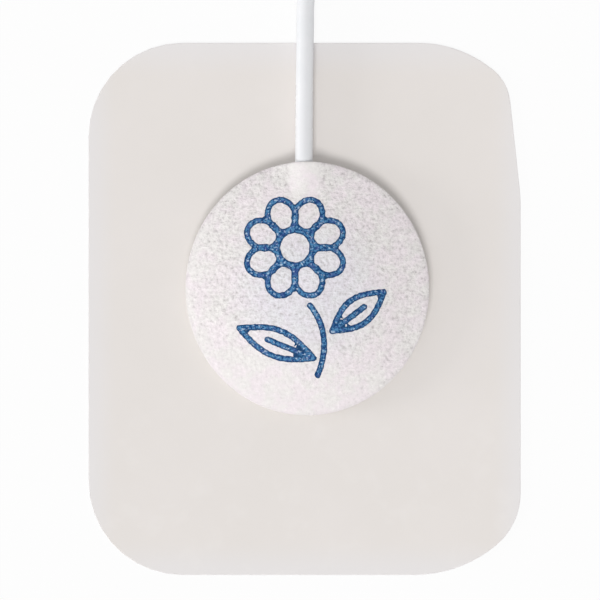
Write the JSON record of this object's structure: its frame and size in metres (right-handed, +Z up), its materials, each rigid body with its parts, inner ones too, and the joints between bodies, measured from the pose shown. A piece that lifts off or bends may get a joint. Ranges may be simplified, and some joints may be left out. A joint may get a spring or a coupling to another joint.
{
  "type": "ecg electrode",
  "caption": "Round foam ECG electrode with a printed nonwoven cover and an attached white lead, coiled and ended in a touch-proof connector, on a rounded release liner.",
  "frame": {"origin": "centre of the release liner's underside, where the object rests", "axes": "+Z up through the pad, with the printed cover on top; +Y along the liner's long side, the way the lead leaves the pad; +X across the liner"},
  "size_m": [0.0432, 0.1012, 0.0068],
  "materials": {
    "liner": "satin silicone-coated film, warm grey-beige",
    "foam": "matt closed-cell foam",
    "gel": "glossy moist hydrogel",
    "sensor": "silver and silver-chloride coating on plastic",
    "terminal": "tinned, plain",
    "conductor": "tinned copper strands",
    "cover": "matt white nonwoven with a fine grain",
    "ink": "blue ink soaked into the nonwoven",
    "insulation": "smooth glossy white PVC",
    "tie": "white paper-covered wire strip",
    "moulding": "satin white moulded PVC",
    "contact": "gold-plated"
  },
  "bodies": {
    "root": {"release_liner": "liner", "foam_base": "foam", "gel_pad": "gel", "sensor_disc": "sensor", "sensor_cap": "terminal", "wire_terminal": "terminal", "conductor_sensor_end": "conductor", "cover_disc": "cover", "print_flower_head": "ink", "print_stem": "ink", "print_leaf_left": "ink", "print_leaf_right": "ink", "lead_wire": "insulation", "lead_coil": "insulation", "lead_tail": "insulation", "coil_tie": "tie", "strain_relief": "moulding", "connector_body": "moulding", "contact_socket": "contact", "conductor_plug_end": "conductor"}
  },
  "joints": []
}
